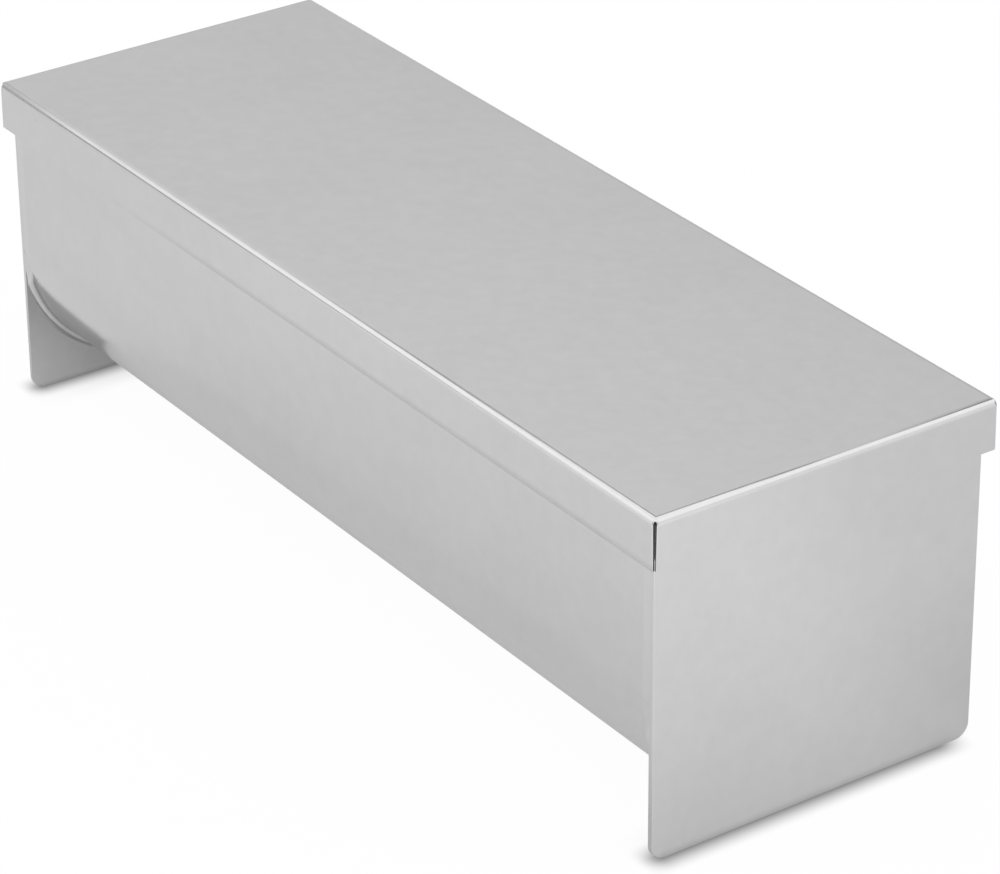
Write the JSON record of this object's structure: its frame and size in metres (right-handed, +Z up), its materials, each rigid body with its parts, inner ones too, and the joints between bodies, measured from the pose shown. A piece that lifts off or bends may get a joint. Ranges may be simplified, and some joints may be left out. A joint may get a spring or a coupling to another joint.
{
  "type": "terrine mould",
  "caption": "Long round-bottomed sheet-steel trough welded between flat end plates that stand as its feet, closed by a folded slip-on lid, for moulding and baking terrines.",
  "frame": {"origin": "on the surface that the mould stands on, under the centre of its outline", "axes": "+X along the mould towards its front end, +Y across it, +Z up through the lid"},
  "size_m": [0.3, 0.101, 0.094],
  "materials": {
    "sheet_steel": "bright rolled stainless steel, softly mirror-like",
    "lid_steel": "bright rolled stainless steel, softly mirror-like",
    "weld_steel": "polished weld bead"
  },
  "bodies": {
    "mould_body": {"trough": "sheet_steel", "front_end_plate": "sheet_steel", "rear_end_plate": "sheet_steel", "front_weld_seam": "weld_steel", "rear_weld_seam": "weld_steel"},
    "lid": {"lid": "lid_steel"}
  },
  "joints": [
    {"name": "lid_lift", "type": "slide", "parent": "mould_body", "child": "lid", "axis": [0, 0, 1], "range_m": [0, 0.12]}
  ]
}
